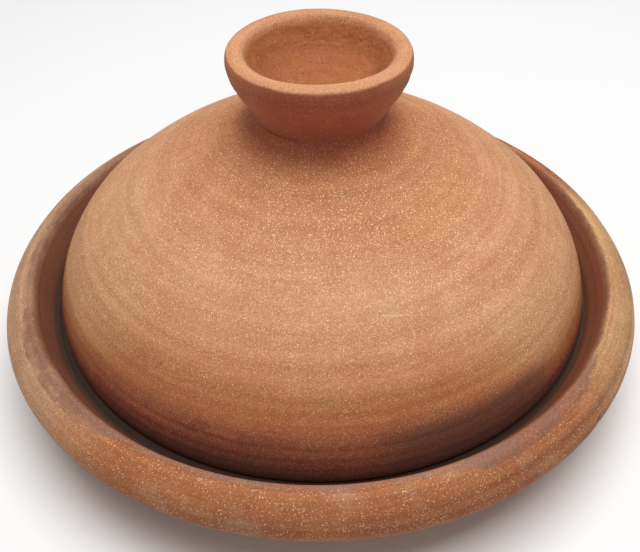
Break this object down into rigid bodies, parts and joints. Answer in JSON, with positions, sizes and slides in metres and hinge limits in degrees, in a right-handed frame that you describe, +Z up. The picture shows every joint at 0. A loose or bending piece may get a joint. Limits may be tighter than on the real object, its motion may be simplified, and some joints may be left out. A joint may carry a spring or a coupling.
{
  "type": "tagine pot",
  "caption": "Shallow round clay cooking dish with a rolled rim, and a domed lid with a cup-shaped knob that sits on a ledge inside the rim and lifts off.",
  "frame": {"origin": "middle of the dish's flat foot, on the surface that it stands on", "axes": "+Z up along the axis that every piece was thrown about, +X to the right, +Y to the back"},
  "size_m": [0.304, 0.304, 0.1527],
  "materials": {
    "dish_clay": "unglazed earthenware, darker burnished slip inside",
    "lid_clay": "unglazed earthenware with mica flecks, smoke darkened at the foot",
    "knob_clay": "unglazed earthenware, rough inside the cup"
  },
  "bodies": {
    "dish": {"base_dish": "dish_clay"},
    "lid": {"lid_dome": "lid_clay", "lid_knob": "knob_clay"}
  },
  "joints": [
    {"name": "lid_lift", "type": "slide", "parent": "dish", "child": "lid", "axis": [0, 0, 1], "range_m": [0, 0.15]}
  ]
}
